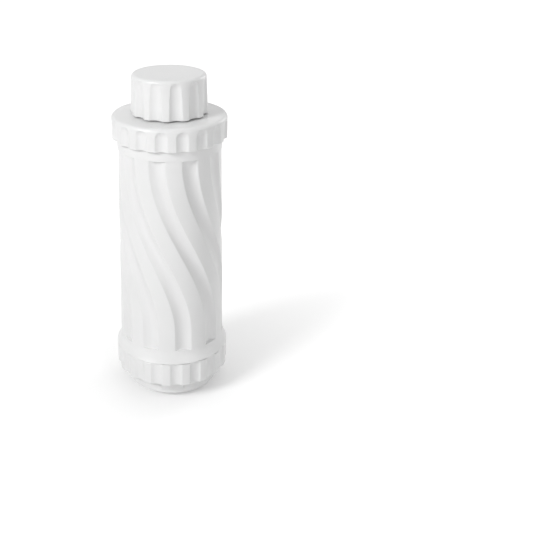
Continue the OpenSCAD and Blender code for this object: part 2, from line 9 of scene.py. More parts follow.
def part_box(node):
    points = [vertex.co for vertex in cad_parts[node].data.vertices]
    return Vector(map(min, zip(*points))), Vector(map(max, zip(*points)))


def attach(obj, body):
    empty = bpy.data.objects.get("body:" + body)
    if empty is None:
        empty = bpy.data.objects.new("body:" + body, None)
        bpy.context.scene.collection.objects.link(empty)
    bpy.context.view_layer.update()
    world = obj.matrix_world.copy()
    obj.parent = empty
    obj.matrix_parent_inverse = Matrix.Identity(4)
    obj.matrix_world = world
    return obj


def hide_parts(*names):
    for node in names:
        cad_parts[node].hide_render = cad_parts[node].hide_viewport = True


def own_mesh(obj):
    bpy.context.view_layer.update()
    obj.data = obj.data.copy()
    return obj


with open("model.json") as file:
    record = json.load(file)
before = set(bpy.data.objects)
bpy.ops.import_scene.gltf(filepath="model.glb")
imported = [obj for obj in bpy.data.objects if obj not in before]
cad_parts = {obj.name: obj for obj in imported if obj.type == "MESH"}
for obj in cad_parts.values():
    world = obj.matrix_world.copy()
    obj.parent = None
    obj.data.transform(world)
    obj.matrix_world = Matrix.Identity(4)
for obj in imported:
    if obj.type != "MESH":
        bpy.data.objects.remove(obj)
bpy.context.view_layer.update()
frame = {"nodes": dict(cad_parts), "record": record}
print("frame loaded,", len(frame["nodes"]), "nodes")

# Sizes are in millimetres and angles in degrees until a vertex is placed
mm = 0.001
columns = 720  # faces round a turned piece, half a degree each
weld = 0.0005 * mm  # points nearer than this become one
hair = 0.01  # room for rounding in tests of height and radius


def low(node):
    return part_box(node)[0].z / mm


def high(node):
    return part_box(node)[1].z / mm


# Heights that several pieces share
partingGap = 0.3
neckHeight = 8.6
capGap = 0.6
rimTop = high("bottom_cap")
parting = rimTop + partingGap
collarFoot = high("housing") - neckHeight
faceHeight = low("inlet_cap") - capGap


# An outline is a list of (radius, height)


def smoothStep(u):
    u = max(0.0, min(1.0, u))
    return u * u * (3 - 2 * u)


def smoothMin(a, b, blend):
    near = max(blend - abs(a - b), 0) / blend
    return min(a, b) - near * near * blend / 4


def smoothMax(a, b, blend):
    return -smoothMin(-a, -b, blend)


def arc(radius, height, size, start, end, steps=6):
    turns = [radians(start + (end - start) * i / steps) for i in range(steps + 1)]
    return [(radius + size * cos(t), height + size * sin(t)) for t in turns]


def line(start, end, longest):
    # the end and the points on the way to it, but not the start
    steps = max(1, ceil(hypot(end[0] - start[0], end[1] - start[1]) / longest))
    return [(start[0] + (end[0] - start[0]) * i / steps, start[1] + (end[1] - start[1]) * i / steps)
            for i in range(1, steps + 1)]


def held(outline, inset=0.25):
    # a row of points near both ends of each long stretch keeps its shading flat
    kept = []
    for start, end in zip(outline, outline[1:] + outline[:1]):
        kept.append(start)
        length = hypot(end[0] - start[0], end[1] - start[1])
        if length > 4 * inset:
            for share in (inset / length, 1 - inset / length):
                kept.append((start[0] + (end[0] - start[0]) * share,
                             start[1] + (end[1] - start[1]) * share))
    return kept


# Turned shells, and what is cut into them


def turn(bm, outline, start=0.0, closed=True, steps=columns, sectors=20):
    # one sector is spun, and the others are turned copies of it
    a = radians(start)
    sector = bmesh.new()
    verts = [sector.verts.new((r * mm * cos(a), r * mm * sin(a), z * mm)) for r, z in outline]
    pairs = list(zip(verts, verts[1:]))
    if closed:
        pairs.append((verts[-1], verts[0]))
    edges = [sector.edges.new(pair) for pair in pairs]
    bmesh.ops.spin(sector, geom=verts + edges, cent=(0, 0, 0), axis=(0, 0, 1), dvec=(0, 0, 0),
                   angle=2 * pi / sectors, steps=steps // sectors, use_merge=False,
                   use_duplicate=False)
    mesh = bpy.data.meshes.new("sector")
    sector.to_mesh(mesh)
    sector.free()
    for i in range(sectors):
        bm.from_mesh(mesh)
        mesh.transform(Matrix.Rotation(2 * pi / sectors, 4, "Z"))
    bpy.data.meshes.remove(mesh)
    bmesh.ops.remove_doubles(bm, verts=bm.verts, dist=weld)


def polar(vert):
    return hypot(vert.co.x, vert.co.y) / mm, degrees(atan2(vert.co.y, vert.co.x)), vert.co.z / mm


def place(vert, radius, angle):
    vert.co.x = radius * mm * cos(radians(angle))
    vert.co.y = radius * mm * sin(radians(angle))


def offCentre(angle, phase, count):
    # how far an angle is from the middle of the nearest of count equal shares
    share = 360 / count
    return (angle - phase + share / 2) % share - share / 2


def cutFlutes(bm, flutes):
    # round-bottomed flutes with round tops, in a rim of that radius
    radius, depth = flutes["radius"], flutes["depth"]
    lost = radius * (1 - cos(radians(flutes["width"] / 2)))
    middle = (2 * radius * depth - depth * depth) / (2 * (depth - lost))
    cutter = middle - radius + depth
    for vert in bm.verts:
        r, angle, z = polar(vert)
        if r < radius - flutes["reach"] or not flutes["foot"] - hair < z < flutes["top"]:
            continue
        side = radians(offCentre(angle, flutes["phase"], flutes["count"]))
        room = cutter ** 2 - (middle * sin(side)) ** 2 - max(0, z - flutes["bend"]) ** 2
        if room <= 0:
            continue
        inset = radius - r if z < flutes["foot"] + flutes["lip"] - hair else 0
        cut = middle * cos(side) - sqrt(room)
        place(vert, smoothMin(r + inset, cut, flutes["soft"]) - inset, angle)


def openHoles(bm, inHole, holeOf, middle):
    # takes out the faces where a hole goes through and walls it from the upper to the lower edge
    gone = [face for face in bm.faces if inHole(face.calc_center_median())]
    bmesh.ops.delete(bm, geom=gone, context="FACES")
    rims = {}
    for edge in bm.edges:
        a, b = edge.verts
        if len(edge.link_faces) == 1 and (a.co.z > middle * mm) == (b.co.z > middle * mm):
            rims.setdefault(holeOf((a.co + b.co) / 2), []).append(edge)
    for edges in rims.values():
        bmesh.ops.bridge_loops(bm, edges=edges)


def addThread(bm, thread):
    outward = thread["tip"] > thread["root"]
    sink = 0.3  # how deep the ridge is rooted in its wall
    foot = thread["root"] + (-sink if outward else sink)
    corners = [(foot, -thread["rootWidth"] / 2), (thread["tip"], -thread["tipWidth"] / 2),
               (thread["tip"], thread["tipWidth"] / 2), (foot, thread["rootWidth"] / 2)]
    start, end, pitch = thread["start"], thread["end"], thread["pitch"]
    facet = 3  # degrees
    steps = ceil((end - start) / facet)
    a = radians(start)
    ridge = bmesh.new()
    firstHeight = thread["height"] + pitch * start / 360
    verts = [ridge.verts.new((r * mm * cos(a), r * mm * sin(a), (firstHeight + dz) * mm))
             for r, dz in corners]
    edges = [ridge.edges.new(pair) for pair in zip(verts, verts[1:] + verts[:1])]
    bmesh.ops.spin(ridge, geom=verts + edges, cent=(0, 0, 0), axis=(0, 0, 1),
                   dvec=(0, 0, pitch * (end - start) / 360 / steps * mm),
                   angle=radians(end - start), steps=steps, use_merge=False, use_duplicate=False)
    for vert in ridge.verts:
        r, angle, z = polar(vert)
        angle += 360 * round((z - thread["height"]) / pitch - angle / 360)
        fade = max(0.08, smoothStep(min(angle - start, end - angle) / thread["fade"]))
        if (r > thread["root"]) == outward:
            place(vert, thread["root"] + (r - thread["root"]) * fade, angle)
    bmesh.ops.holes_fill(ridge, edges=[e for e in ridge.edges if len(e.link_faces) == 1], sides=4)
    mesh = bpy.data.meshes.new("ridge")
    ridge.to_mesh(mesh)
    ridge.free()
    bm.from_mesh(mesh)
    bpy.data.meshes.remove(mesh)


def mateWidth(radius, ridge):
    # width at that radius of the ridge that runs between the turns of the given one
    play = 0.25
    share = (radius - ridge["root"]) / (ridge["tip"] - ridge["root"])
    width = ridge["rootWidth"] + (ridge["tipWidth"] - ridge["rootWidth"]) * share
    return ridge["pitch"] - 2 * play - width


def mateThread(ridge, root, tip, start, end):
    return {"root": root, "tip": tip, "rootWidth": mateWidth(root, ridge),
            "tipWidth": mateWidth(tip, ridge), "pitch": ridge["pitch"],
            "height": ridge["height"] - ridge["pitch"] / 2, "start": start, "end": end,
            "fade": ridge["fade"]}


def makePiece(name, bm, material, body, node):
    bmesh.ops.remove_doubles(bm, verts=bm.verts, dist=weld)
    bmesh.ops.dissolve_degenerate(bm, edges=bm.edges, dist=weld / 5)
    bmesh.ops.recalc_face_normals(bm, faces=bm.faces)
    openEdges = sum(1 for edge in bm.edges if len(edge.link_faces) != 2)
    mesh = bpy.data.meshes.new(name)
    bm.to_mesh(mesh)
    bm.free()
    mesh.shade_smooth()
    mesh.set_sharp_from_angle(angle=radians(38))
    mesh.materials.append(material)
    piece = bpy.data.objects.new(name, mesh)
    bpy.context.scene.collection.objects.link(piece)
    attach(piece, body)
    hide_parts(node)
    print(name, len(mesh.polygons), "faces,", openEdges, "open edges")
    return piece


# Finishes


def grainGroup():
    # large soft blotches and a fine grain, both from 0 to 1
    group = bpy.data.node_groups.new("surface grain", "ShaderNodeTree")
    for label, value in (("Blotch size", 30.0), ("Grain size", 1500.0), ("Grain stretch", 1.0)):
        socket = group.interface.new_socket(name=label, in_out="INPUT",
                                            socket_type="NodeSocketFloat")
        socket.default_value = value
    for label in ("Blotches", "Grain"):
        group.interface.new_socket(name=label, in_out="OUTPUT", socket_type="NodeSocketFloat")
    nodes, links = group.nodes, group.links
    given = nodes.new("NodeGroupInput")
    result = nodes.new("NodeGroupOutput")
    place3d = nodes.new("ShaderNodeTexCoord")
    blotch = nodes.new("ShaderNodeTexNoise")
    blotch.inputs["Detail"].default_value = 3
    blotch.inputs["Roughness"].default_value = 0.55
    links.new(place3d.outputs["Object"], blotch.inputs["Vector"])
    links.new(given.outputs["Blotch size"], blotch.inputs["Scale"])
    spread = nodes.new("ShaderNodeMapRange")
    spread.interpolation_type = "SMOOTHSTEP"
    spread.inputs["From Min"].default_value = 0.3
    spread.inputs["From Max"].default_value = 0.7
    links.new(blotch.outputs["Fac"], spread.inputs["Value"])
    links.new(spread.outputs["Result"], result.inputs["Blotches"])
    stretch = nodes.new("ShaderNodeCombineXYZ")
    stretch.inputs["X"].default_value = 1
    stretch.inputs["Y"].default_value = 1
    links.new(given.outputs["Grain stretch"], stretch.inputs["Z"])
    scaled = nodes.new("ShaderNodeVectorMath")
    scaled.operation = "MULTIPLY"
    links.new(place3d.outputs["Object"], scaled.inputs[0])
    links.new(stretch.outputs["Vector"], scaled.inputs[1])
    grain = nodes.new("ShaderNodeTexNoise")
    grain.inputs["Detail"].default_value = 2
    links.new(scaled.outputs["Vector"], grain.inputs["Vector"])
    links.new(given.outputs["Grain size"], grain.inputs["Scale"])
    links.new(grain.outputs["Fac"], result.inputs["Grain"])
    return group


surfaceGrain = grainGroup()


def makeFinish(name, look):
    material = bpy.data.materials.new(name)
    material.use_nodes = True
    nodes, links = material.node_tree.nodes, material.node_tree.links
    shader = nodes["Principled BSDF"]
    surface = nodes.new("ShaderNodeGroup")
    surface.node_tree = surfaceGrain
    surface.inputs["Blotch size"].default_value = look["blotchSize"]
    surface.inputs["Grain size"].default_value = look["grainSize"]
    surface.inputs["Grain stretch"].default_value = look.get("grainStretch", 1)
    colour = nodes.new("ShaderNodeMix")
    colour.data_type = "RGBA"
    colour.inputs["A"].default_value = (*look["colour"], 1)
    colour.inputs["B"].default_value = (*look["second"], 1)
    links.new(surface.outputs["Blotches"], colour.inputs["Factor"])
    links.new(colour.outputs["Result"], shader.inputs["Base Color"])
    rough = nodes.new("ShaderNodeMapRange")
    rough.inputs["To Min"].default_value = look["roughness"][0]
    rough.inputs["To Max"].default_value = look["roughness"][1]
    links.new(surface.outputs["Grain"], rough.inputs["Value"])
    links.new(rough.outputs["Result"], shader.inputs["Roughness"])
    bump = nodes.new("ShaderNodeBump")
    bump.inputs["Strength"].default_value = look["bump"]
    bump.inputs["Distance"].default_value = look["bumpHeight"] * mm
    links.new(surface.outputs["Grain"], bump.inputs["Height"])
    links.new(bump.outputs["Normal"], shader.inputs["Normal"])
    shader.inputs["Metallic"].default_value = look.get("metallic", 0)
    shader.inputs["Specular IOR Level"].default_value = look.get("specular", 0.5)
    shader.inputs["Sheen Weight"].default_value = look.get("sheen", 0)
    return material


finishes = {
    "body_plastic": makeFinish("satin white body plastic", {
        "colour": (0.80, 0.80, 0.80), "second": (0.775, 0.777, 0.775), "blotchSize": 30,
        "grainSize": 2600, "roughness": (0.26, 0.38), "bump": 0.12, "bumpHeight": 0.02}),
    "cap_plastic": makeFinish("satin white cap plastic", {
        "colour": (0.81, 0.81, 0.81), "second": (0.785, 0.787, 0.785), "blotchSize": 38,
        "grainSize": 3000, "roughness": (0.24, 0.36), "bump": 0.12, "bumpHeight": 0.02}),
    "inner_plastic": makeFinish("natural inner plastic", {
        "colour": (0.66, 0.67, 0.65), "second": (0.60, 0.61, 0.59), "blotchSize": 60,
        "grainSize": 1800, "roughness": (0.42, 0.6), "bump": 0.25, "bumpHeight": 0.03}),
    "seal_rubber": makeFinish("black seal rubber", {
        "colour": (0.018, 0.018, 0.02), "second": (0.03, 0.03, 0.032), "blotchSize": 120,
        "grainSize": 2400, "roughness": (0.5, 0.72), "bump": 0.3, "bumpHeight": 0.03}),
    "stainless_steel": makeFinish("drawn stainless steel", {
        "colour": (0.55, 0.55, 0.53), "second": (0.45, 0.45, 0.44), "blotchSize": 90,
        "grainSize": 900, "grainStretch": 0.08, "roughness": (0.22, 0.38), "metallic": 1,
        "bump": 0.2, "bumpHeight": 0.01}),
    "filter_felt": makeFinish("needled filter felt", {
        "colour": (0.72, 0.71, 0.66), "second": (0.58, 0.57, 0.52), "blotchSize": 320,
        "grainSize": 1400, "grainStretch": 0.4, "roughness": (0.85, 1), "sheen": 0.3,
        "bump": 0.8, "bumpHeight": 0.25}),
    "carbon": makeFinish("pressed carbon", {
        "colour": (0.012, 0.012, 0.013), "second": (0.03, 0.03, 0.032), "blotchSize": 900,
        "grainSize": 2600, "roughness": (0.6, 0.95), "bump": 0.9, "bumpHeight": 0.2}),
}

for part in frame["record"]["subparts"]:
    node = frame["nodes"][part["node"]]
    node.data.materials.clear()
    node.data.materials.append(finishes[part["material_slot"]])
print("finishes made")


# Housing

housing = {
    "bore": 21.8, "bodyTop": 26.05, "taper": 1.8, "band": 26.35, "bandHeight": 4.8,
    "footHeight": 7.9, "footRadius": 30.17, "neck": 24.4, "skirt": 26.0, "lip": 0.35,
    "grooves": 10, "grooveWidth": 18, "grooveDepth": 1.7, "phase": -104.3, "sweep": 62.5,
    "grooveEnd": 0.86, "grooveSlope": 0.5, "soft": 0.22, "endSoft": 0.06,
    "sweepStart": 0.02, "sweepShare": 0.88,  # of the way from the band down to the foot
    "footRows": 16, "slopeRows": 5, "closeStep": 0.5, "rowStep": 1.8,
    "edge": 0.3, "neckEdge": 0.5, "skirtEdge": 0.4,
}
neckThread = {"root": 24.4, "tip": 25.3, "rootWidth": 2.5, "tipWidth": 1.3, "pitch": 4.0,
              "height": collarFoot + 2.1, "start": 0, "end": 430, "fade": 40}
skirtThread = {"root": 26.0, "tip": 26.9, "rootWidth": 1.8, "tipWidth": 1.0, "pitch": 3.0,
               "height": low("housing") + 1.4, "start": 0, "end": 378, "fade": 40}


def housingShell(h):
    bandFoot = collarFoot - partingGap - h["bandHeight"]
    footTop = parting + h["footHeight"]
    grooveFoot = parting + h["footHeight"] * h["grooveEnd"]
    rimEdge = parting + h["lip"]
    bodyFoot = h["bodyTop"] + h["taper"]

    def along(z):
        return max(0.0, min(1.0, (bandFoot - z) / (bandFoot - footTop)))

    def bodyRadius(z):
        flare = max(0, footTop - z) / (footTop - rimEdge)
        return h["bodyTop"] + h["taper"] * along(z) + (h["footRadius"] - bodyFoot) * flare ** 2

    footRows, slopeRows = h["footRows"], h["slopeRows"]
    heights = [rimEdge + (grooveFoot - rimEdge) * i / footRows for i in range(footRows + 1)]
    heights += [grooveFoot + h["grooveSlope"] * i / slopeRows for i in range(1, slopeRows + 1)]
    heights += [z for _, z in line((0, heights[-1]), (0, footTop + 2), h["closeStep"])]
    heights += [z for _, z in line((0, heights[-1]), (0, bandFoot), h["rowStep"])]
    skin = [(h["footRadius"] - h["lip"], parting), (h["footRadius"] - 0.1, parting + 0.1)]
    skin += [(bodyRadius(z), z) for z in heights]
    skin.append((h["band"], bandFoot))
    bm = bmesh.new()
    turn(bm, skin, h["phase"], closed=False)
    for vert in bm.verts:
        r, angle, z = polar(vert)
        onBand = z > bandFoot - hair and r > h["band"] - hair
        if z > grooveFoot + hair and not onBand:
            side = offCentre(angle, h["phase"], h["grooves"]) / (h["grooveWidth"] / 2)
            body = bodyRadius(z)
            groove = body - h["grooveDepth"] * (1 - side * side)
            # the groove's end is a slope that runs on a little past its floor
            slope = body - (h["grooveDepth"] + 0.3) * (z - grooveFoot) / h["grooveSlope"]
            r = smoothMax(slope, smoothMin(body, groove, h["soft"]), h["endSoft"])
        swept = smoothStep((along(z) - h["sweepStart"]) / h["sweepShare"])
        place(vert, r, angle + h["sweep"] * swept)

    bandTop, neckTop, skirtFoot = bandFoot + h["bandHeight"], high("housing"), low("housing")
    edge, neckEdge, skirtEdge = h["edge"], h["neckEdge"], h["skirtEdge"]
    rest = [(h["band"], bandFoot)]
    rest += arc(h["band"] - edge, bandTop - edge, edge, 0, 90, 3)
    rest += [(h["neck"], bandTop), (h["neck"], neckTop - neckEdge), (h["neck"] - neckEdge, neckTop),
             (h["bore"] + edge, neckTop), (h["bore"], neckTop - edge),
             (h["bore"], skirtFoot + edge), (h["bore"] + edge, skirtFoot),
             (h["skirt"] - skirtEdge, skirtFoot), (h["skirt"], skirtFoot + skirtEdge),
             (h["skirt"], parting), skin[0]]
    turn(bm, rest, h["phase"], closed=False)
    bmesh.ops.remove_doubles(bm, verts=bm.verts, dist=weld)
    addThread(bm, neckThread)
    addThread(bm, skirtThread)
    return bm


makePiece("wave_housing", housingShell(housing), finishes["body_plastic"], "housing", "housing")


# Top closure

closure = {
    "radius": 28.8, "threadRoot": 25.6, "threadTip": 24.7, "threadStart": 150, "threadEnd": 640,
    "edge": 2.0, "lip": 0.35, "plug": 21.5, "plugInside": 18.5, "plugEdge": 0.5, "innerEdge": 0.4,
    "sealHeight": 4.8, "sealWidth": 2.4, "grooveRadius": 19.7, "faceThickness": 2.6,
    "spout": 12.3, "spoutBore": 9.5, "spoutEdge": 0.5, "boreEdge": 0.3, "spoutFillet": 0.6,
    "screenSeat": 8.0, "seatDepth": 0.5,
}
closureFlutes = {"count": 18, "radius": 28.8, "depth": 1.15, "width": 12, "phase": -78,
                 "reach": 1.6, "foot": collarFoot, "bend": faceHeight - 4.6, "top": faceHeight,
                 "lip": 0.35, "soft": 0.16}
hoseTurns, hosePitch = 3, 2.209
hoseThread = {"root": 12.3, "tip": 13.45, "rootWidth": 1.5, "tipWidth": 0.7, "pitch": hosePitch,
              "height": high("top_closure") - 1.5 - hoseTurns * hosePitch, "start": 0,
              "end": 360 * hoseTurns, "fade": 40}


def closureShell(c):
    ceiling = faceHeight - c["faceThickness"]
    spoutTop, plugFoot = high("top_closure"), low("top_closure")
    sealLow = plugFoot + c["sealHeight"] - c["sealWidth"] / 2
    sealHigh = sealLow + c["sealWidth"]
    plugEdge, innerEdge, boreEdge = c["plugEdge"], c["innerEdge"], c["boreEdge"]
    inside = [(c["screenSeat"], ceiling), (c["plugInside"], ceiling),
              (c["plugInside"], plugFoot + innerEdge), (c["plugInside"] + innerEdge, plugFoot),
              (c["plug"] - plugEdge, plugFoot), (c["plug"], plugFoot + plugEdge),
              (c["plug"], sealLow), (c["grooveRadius"], sealLow),
              (c["grooveRadius"], sealHigh), (c["plug"], sealHigh), (c["plug"], ceiling),
              (c["threadRoot"], ceiling), (c["threadRoot"], collarFoot + innerEdge),
              (c["threadRoot"] + innerEdge, collarFoot)]
    rim = [(c["radius"] - c["lip"], collarFoot), (c["radius"], collarFoot + c["lip"])]
    rim += line(rim[-1], (c["radius"], faceHeight - 6), 1.0)
    rim += line(rim[-1], (c["radius"], faceHeight - c["edge"]), 0.25)
    rim += arc(c["radius"] - c["edge"], faceHeight - c["edge"], c["edge"], 0, 90, 10)[1:]
    spout = arc(c["spout"] + c["spoutFillet"], faceHeight + c["spoutFillet"], c["spoutFillet"],
                270, 180, 4)
    spout += [(c["spout"], spoutTop - c["spoutEdge"]), (c["spout"] - c["spoutEdge"], spoutTop),
              (c["spoutBore"] + boreEdge, spoutTop), (c["spoutBore"], spoutTop - boreEdge),
              (c["spoutBore"], faceHeight + c["seatDepth"]),
              (c["screenSeat"], faceHeight + c["seatDepth"])]
    bm = bmesh.new()
    collarFace = held([inside[-1], rim[0]])[:3]
    topFace = held([rim[-1], spout[0]])[1:3]
    turn(bm, held(inside)[:-2] + collarFace + rim + topFace + spout, closureFlutes["phase"])
    cutFlutes(bm, closureFlutes)
    addThread(bm, mateThread(neckThread, c["threadRoot"], c["threadTip"], c["threadStart"],
                             c["threadEnd"]))
    addThread(bm, hoseThread)
    return bm


makePiece("fluted_closure", closureShell(closure), finishes["cap_plastic"], "closure",
          "top_closure")


# Inlet cap

inletCap = {"radius": 19.0, "taper": 0.6, "edge": 1.9, "crown": 0.35, "threadRoot": 13.75,
            "threadTip": 12.6, "threadEnd": 800, "topThickness": 2.55, "lip": 0.3,
            "innerEdge": 0.5, "fluteTops": 6.5}  # height under the shoulder that needs close rows
capFlutes = {"count": 12, "radius": 19.0, "depth": 1.5, "width": 20, "phase": -80.4, "reach": 2.6,
             "foot": low("inlet_cap"), "bend": high("inlet_cap") - 4.3, "top": high("inlet_cap"),
             "lip": 0.3, "soft": 0.2}


def inletCapShell(c):
    foot, top = low("inlet_cap"), high("inlet_cap")
    ceiling, topRadius = top - c["topThickness"], c["radius"] - c["taper"]
    shoulder = top - c["crown"] - c["edge"]
    rim = [(c["radius"] - c["lip"], foot), (c["radius"], foot + c["lip"])]
    straight = line(rim[-1], (topRadius, shoulder), 0.3)
    rim += [p for p in straight if p[1] > shoulder - c["fluteTops"] or p[1] < foot + 0.7]
    rim += arc(topRadius - c["edge"], shoulder, c["edge"], 0, 84, 12)[1:]
    crownFoot = rim[-1]
    crown = [(crownFoot[0] * (1 - u), top - (top - crownFoot[1]) * (1 - u) ** 2)
             for u in (0.04, 0.12, 0.3, 0.5, 0.7, 0.85, 0.95)]
    innerEdge = c["innerEdge"]
    inside = [(0, ceiling), (c["threadRoot"] - innerEdge, ceiling),
              (c["threadRoot"], ceiling - innerEdge), (c["threadRoot"], foot + innerEdge),
              (c["threadRoot"] + innerEdge, foot)]
    bm = bmesh.new()
    turn(bm, inside + held([inside[-1], rim[0]])[1:3] + rim + crown + [(0, top)],
         round(capFlutes["phase"] * 2) / 2, closed=False)
    cutFlutes(bm, capFlutes)
    addThread(bm, mateThread(hoseThread, c["threadRoot"], c["threadTip"], 0, c["threadEnd"]))
    return bm


makePiece("hose_cap", inletCapShell(inletCap), finishes["cap_plastic"], "inlet_cap", "inlet_cap")


# Bottom cap

bottomCap = {
    "radius": 30.17, "threadRoot": 27.2, "rimFoot": 10.8, "web": 2.35, "edge": 0.8, "lip": 0.35,
    "cup": 24.3, "cupInside": 22.1, "cupFloor": 4.6, "cupEdge": 1.2, "stand": 13.6, "dome": 20.2,
    "domeHeight": 2.4, "domeThickness": 2.2, "ledge": 0.2, "windowWidth": 75, "windowPhase": -30,
    "starHole": 5.4, "star": 8.9, "starSlots": 12, "slotFoot": 8.5, "slotTip": 1.4,
    "slotColumns": 3,  # degrees each side of a star slot's middle, before it is given its width
    "ramp": 6.4, "rampWidth": 31, "rampFlow": 3, "innerDome": 18.0, "threadTip": 26.3,
    "threadEnd": 540, "innerEdge": 0.3, "cupCorner": 0.2, "domeRows": 14,
}
bottomFlutes = {"count": 18, "radius": 30.17, "depth": 1.15, "width": 12, "phase": -86.4,
                "reach": 1.6, "foot": bottomCap["rimFoot"], "bend": rimTop + 1, "top": rimTop + 0.1,
                "lip": 0.8, "soft": 0.16}


def bottomCapShell(c):
    rimFoot, webTop = c["rimFoot"], c["rimFoot"] + c["web"]
    starRings = [c["starHole"] + (c["star"] - c["starHole"]) * u for u in (0, 0.25, 0.5, 0.75, 1)]
    face = [(r, 0) for r in starRings] + held([(c["star"], 0), (c["stand"], 0)])[1:3]
    face += [(c["stand"] + (c["dome"] - c["stand"]) * u, c["domeHeight"] * smoothStep(u))
             for u in [i / c["domeRows"] for i in range(c["domeRows"] + 1)]]
    cup = arc(c["cup"] - c["cupEdge"], c["domeHeight"] + c["cupEdge"], c["cupEdge"], -90, 0, 8)
    cup += line(cup[-1], (c["cup"], rimFoot - 0.3), 0.5)
    cup += arc(c["cup"] + c["cupCorner"], rimFoot - c["cupCorner"], c["cupCorner"], 180, 90, 2)
    rim = [(c["threadRoot"] - c["ledge"], rimFoot), (c["threadRoot"], rimFoot)]
    rim += held([rim[-1], (c["radius"] - c["edge"], rimFoot)])[1:3]
    rim += arc(c["radius"] - c["edge"], rimFoot + c["edge"], c["edge"], -90, 0, 6)
    rim += line(rim[-1], (c["radius"], rimTop - 6), 1.0)
    rim += line(rim[-1], (c["radius"], rimTop - c["lip"]), 0.25)
    rim += [(c["radius"] - c["lip"], rimTop), (c["threadRoot"] + c["innerEdge"], rimTop),
            (c["threadRoot"], rimTop - c["innerEdge"])]
    inside = [(c["threadRoot"], webTop), (c["threadRoot"] - c["ledge"], webTop),
              (c["cup"] + c["ledge"], webTop), (c["cupInside"], webTop),
              (c["cupInside"], c["cupFloor"]), (c["innerDome"], c["cupFloor"]),
              (c["stand"] - 1, c["domeThickness"])]
    inside += [(r, c["domeThickness"]) for r in reversed(starRings)]
    bm = bmesh.new()
    turn(bm, face + cup + rim + inside, round(bottomFlutes["phase"] * 2) / 2, closed=False)
    cutFlutes(bm, bottomFlutes)

    for vert in bm.verts:
        r, angle, z = polar(vert)
        if r < c["star"] + hair:
            side, width = starSlot(r, angle, c)
            share = 180 / c["starSlots"]
            if abs(side) <= c["slotColumns"] + hair:
                moved = side * width / c["slotColumns"]
            else:
                past = (abs(side) - c["slotColumns"]) / (share - c["slotColumns"])
                moved = (width + (share - width) * past) * (1 if side > 0 else -1)
            place(vert, r, angle - side + moved)
        elif z < rimFoot + hair and c["cup"] - 0.3 < r < c["threadRoot"] + hair:
            # ramps from the rim down to the cup's face, between the windows
            bridge = abs(offCentre(angle, c["windowPhase"] + 60, 3))
            rise = max(0, z - (rimFoot - c["ramp"])) / c["ramp"]
            reach = (c["threadRoot"] - c["cup"] - 0.05) * rise
            flow = smoothStep((c["rampWidth"] / 2 - bridge) / c["rampFlow"])
            place(vert, max(r, c["cup"] + flow * reach), angle)
    openHoles(bm, lambda p: inStar(p, c), lambda p: 0, c["domeThickness"] / 2)
    openHoles(bm, lambda p: inWindow(p, c),
              lambda p: round((degrees(atan2(p.y, p.x)) - c["windowPhase"]) / 120) % 3,
              rimFoot + c["web"] / 2)
    addThread(bm, mateThread(skirtThread, c["threadRoot"], c["threadTip"], 0, c["threadEnd"]))
    return bm


def starSlot(r, angle, c):
    # degrees from the middle of the nearest star slot, and half its width there
    out = (r - c["starHole"]) / (c["star"] - c["starHole"])
    width = c["slotFoot"] + (c["slotTip"] - c["slotFoot"]) * smoothStep(out) ** 0.8
    return offCentre(angle, 180 / c["starSlots"], c["starSlots"]), width


def inStar(p, c):
    r = hypot(p.x, p.y) / mm
    side, width = starSlot(r, degrees(atan2(p.y, p.x)), c)
    return r < c["star"] - 0.05 and abs(side) < width


def inWindow(p, c):
    r, z = hypot(p.x, p.y) / mm, p.z / mm
    side = offCentre(degrees(atan2(p.y, p.x)), c["windowPhase"], 3)
    return (c["cup"] + c["ledge"] - hair < r < c["threadRoot"] - c["ledge"] + hair
            and c["rimFoot"] - hair < z < c["rimFoot"] + c["web"] + hair
            and abs(side) < c["windowWidth"] / 2)


makePiece("domed_bottom_cap", bottomCapShell(bottomCap), finishes["cap_plastic"], "bottom_cap",
          "bottom_cap")


# Outlet tube

outletTube = {"radius": 3.5, "bore": 2.15, "lip": 0.45, "edge": 0.3, "spider": 18.5, "rim": 1.6,
              "arm": 2.4, "armBevel": 0.25, "spiderFoot": 5.2, "spiderTop": 6.7, "step": 0.3}


def outletTubeShell(t):
    foot, top, lip, edge = low("outlet_tube"), high("outlet_tube"), t["lip"], t["edge"]
    tube = arc(t["radius"] - lip, foot + lip, lip, -90, 0, 5)
    tube += [(t["radius"], top - edge), (t["radius"] - edge, top), (t["bore"] + edge, top),
             (t["bore"], top - edge)]
    tube += arc(t["bore"] + lip, foot + lip, lip, 180, 270, 5)
    rimRadius = t["spider"] - t["rim"]
    rim = [(rimRadius, t["spiderFoot"]), (t["spider"], t["spiderFoot"]),
           (t["spider"], t["spiderTop"] - t["step"]), (rimRadius, t["spiderTop"] - t["step"])]
    bm = bmesh.new()
    turn(bm, held(tube), steps=120)
    turn(bm, rim, steps=180)
    start, end = t["radius"] - 0.4, t["spider"] - t["rim"] / 2
    for i in range(3):
        arm = bmesh.ops.create_cube(bm, size=mm)["verts"]
        height = t["spiderTop"] - t["spiderFoot"] - t["step"]
        bmesh.ops.scale(bm, vec=(end - start, t["arm"], height), verts=arm)
        middle = Vector(((start + end) / 2, 0, t["spiderTop"] - height / 2))
        bmesh.ops.translate(bm, vec=middle * mm, verts=arm)
        longEdges = [e for e in bm.edges if e.verts[0] in arm and e.verts[1] in arm
                     and abs(e.verts[0].co.x - e.verts[1].co.x) > mm]
        bmesh.ops.rotate(bm, cent=(0, 0, 0), verts=arm,
                         matrix=Matrix.Rotation(radians(90 + 120 * i), 3, "Z"))
        bmesh.ops.bevel(bm, geom=longEdges, offset=t["armBevel"] * mm, offset_type="OFFSET",
                        affect="EDGES", segments=2, profile=0.5, material=-1)
    return bm


makePiece("outlet_spigot", outletTubeShell(outletTube), finishes["body_plastic"], "plug",
          "outlet_tube")
